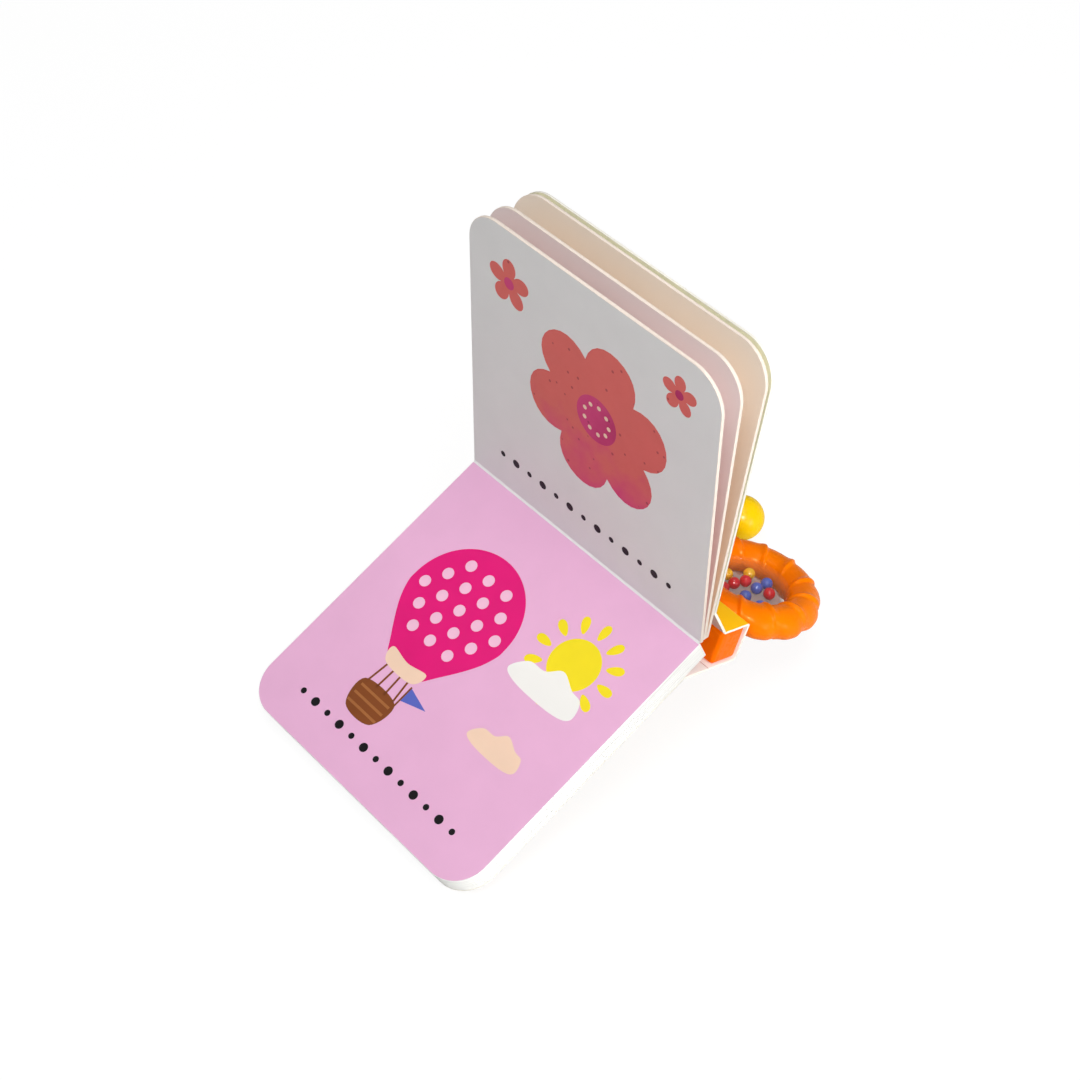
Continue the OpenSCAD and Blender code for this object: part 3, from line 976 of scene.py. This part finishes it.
ray_spots = circle(SUN, RAY_START, RAYS)
rays = [petal(*spot, 360 / RAYS * k, *RAY_SIZE) for k, spot in enumerate(ray_spots)]
pink_print.lay("sun", ink_yellow, 1, [dot(*SUN, SUN_R)] + rays)
pink_print.lay("cloud", ink_white, 2, [smooth_outline(shifted(CLOUD, CLOUD_SPOT))])
pink_print.lay("small_cloud", ink_peach, 1, [smooth_outline(shifted(CLOUD, SMALL_CLOUD_SPOT, 0.75))])
pink_print.lay("pennant", ink_blue, 3, [shifted(PENNANT, BASKET)])
pink_print.lay("pennant_pole", ink_brown, 3, [line(*shifted(POLE, BASKET), POLE_W)])
pink_print.lay("dots", ink_black, 1, dot_row(-45, 7.5, 16))

# White page: a large bloom in two layers of petals, two small blooms and a row of dots
white_print = Print("white_page", FRONT, on_white, -1, "front_half", "white_board")
CORAL = srgb(236, 112, 104)
MAGENTA = srgb(222, 66, 128)
petal_wash = washed("ink_petals", CORAL, MAGENTA, "Y", -95, -35)
heart_wash = washed("ink_heart", MAGENTA, srgb(190, 40, 100), "X", -10, 20)
BLOOM = Vector((5, 72))
SMALL_BLOOMS = ((-43, 106, 11), (45, 112, 8.5))
HEART_SHARE = 0.24
HEART_R = 10.5
PETALS = 6
PETAL_TURN = 15
PETAL_SIZE = (37, 29)  # length and width
SEEDS = 9
SEED_R = 1
SEED_RING = 6.6
leaves = [petal(*BLOOM, PETAL_TURN + 360 / PETALS * k, *PETAL_SIZE) for k in range(PETALS)]
for layer, half in enumerate((leaves[::2], leaves[1::2])):
    white_print.lay(f"petals_{layer + 1}", petal_wash, 1 + layer, half)
white_print.lay("bloom_middle", heart_wash, 3, [dot(*BLOOM, HEART_R)])
seeds = [dot(*spot, SEED_R) for spot in circle(BLOOM, SEED_RING, SEEDS)]
white_print.lay("bloom_seeds", ink_peach, 4, seeds)
white_print.lay("small_blooms", petal_wash, 1, [lobed(*bloom) for bloom in SMALL_BLOOMS])
hearts = [dot(x, up, reach * HEART_SHARE) for x, up, reach in SMALL_BLOOMS]
white_print.lay("small_hearts", heart_wash, 2, hearts)
white_print.lay("dots", ink_black, 1, dot_row(-47, 7.8, 17))

# Floor, light and camera
WHITE = (1, 1, 1, 1)
FLOOR_REACH = 6
FLOOR_PALE = (0.7, 0.7, 0.7, 1)  # what the floor reflects on the part
FLOOR_SHADOW = (0.14, 0.14, 0.14, 1)  # how much of the light and shadow on it is seen
FLOOR_GLOW = 0.9
ROOM_LIGHT = 0.28


def add_node(tree, kind, **inputs):
    """A node of a tree, with constant inputs."""
    node = tree.nodes.new(kind)
    for socket, value in inputs.items():
        node.inputs[socket].default_value = value
    return node


def show(tree, unseen, seen, output):
    """Gives camera and see-through rays the seen shader, and all other rays the unseen one."""
    path = add_node(tree, "ShaderNodeLightPath")
    either = add_node(tree, "ShaderNodeMath")
    either.operation = "MAXIMUM"
    tree.links.new(path.outputs["Is Camera Ray"], either.inputs[0])
    tree.links.new(path.outputs["Is Transmission Ray"], either.inputs[1])
    choice = add_node(tree, "ShaderNodeMixShader")
    tree.links.new(either.outputs[0], choice.inputs["Fac"])
    tree.links.new(unseen.outputs[0], choice.inputs[1])
    tree.links.new(seen.outputs[0], choice.inputs[2])
    tree.links.new(choice.outputs[0], add_node(tree, output).inputs["Surface"])


floor_mesh = bpy.data.meshes.new("floor")
corners = [(x * FLOOR_REACH, y * FLOOR_REACH, 0) for x, y in ((-1, -1), (1, -1), (1, 1), (-1, 1))]
floor_mesh.from_pydata(corners, [], [(0, 1, 2, 3)])
floor = bpy.data.objects.new("floor", floor_mesh)
bpy.context.collection.objects.link(floor)
ground = bpy.data.materials.new("ground")
ground.use_nodes = True
tree = ground.node_tree
tree.nodes.clear()
pale = add_node(tree, "ShaderNodeBsdfDiffuse", Color=FLOOR_PALE)
shadow = add_node(tree, "ShaderNodeBsdfDiffuse", Color=FLOOR_SHADOW)
glow = add_node(tree, "ShaderNodeEmission", Color=WHITE, Strength=FLOOR_GLOW)
backdrop = add_node(tree, "ShaderNodeAddShader")
tree.links.new(shadow.outputs[0], backdrop.inputs[0])
tree.links.new(glow.outputs[0], backdrop.inputs[1])
show(tree, pale, backdrop, "ShaderNodeOutputMaterial")
floor_mesh.materials.append(ground)

scene = bpy.context.scene
scene.view_settings.view_transform = "Standard"
world = bpy.data.worlds.new("studio")
scene.world = world
world.use_nodes = True
tree = world.node_tree
tree.nodes.clear()
room = add_node(tree, "ShaderNodeBackground", Color=WHITE, Strength=ROOM_LIGHT)
backdrop = add_node(tree, "ShaderNodeBackground", Color=WHITE, Strength=1)
show(tree, room, backdrop, "ShaderNodeOutputWorld")


def softbox(name, spot, target, size, power):
    """A square area light that faces a target, as its object."""
    light = bpy.data.lights.new(name, "AREA")
    light.size = size
    light.energy = power
    made = bpy.data.objects.new(name, light)
    bpy.context.collection.objects.link(made)
    made.location = spot
    made.rotation_euler = (Vector(target) - Vector(spot)).to_track_quat("-Z", "Y").to_euler()
    return made


# Spots and sizes in metres, powers in watts; the sparkle light shows only in glossy faces
MIDDLE = (0, 0, 0.06)
softbox("top_light", (0.15, -0.12, 1.35), MIDDLE, 0.8, 9.3)
softbox("side_light", (1.25, 0.05, 0.25), MIDDLE, 0.6, 10)
softbox("front_light", (0.58, -0.36, 0.72), MIDDLE, 0.3, 1.2)
sparkle = softbox("sparkle_light", (0.58, -0.36, 0.8), MIDDLE, 0.15, 12)
sparkle.visible_diffuse = False

# Camera of the photograph, fitted in the frame of the rear half: millimetres, and turns in radians
LENS = 70.323
CAMERA_SPOT = (405.124, -136.040, 701.432)
CAMERA_TURNS = ((1.27612, "Z"), (0.56089, "X"), (-0.53992, "Z"))
camera_data = bpy.data.cameras.new("camera")
camera_data.sensor_width = 36
camera_data.lens = LENS
camera = bpy.data.objects.new("camera", camera_data)
bpy.context.collection.objects.link(camera)
aim = Matrix.Identity(4)
for angle, axis in CAMERA_TURNS:
    aim = aim @ Matrix.Rotation(angle, 4, axis)
camera.matrix_world = in_metres(REAR @ Matrix.Translation(CAMERA_SPOT) @ aim)
scene.camera = camera

bpy.context.view_layer.update()
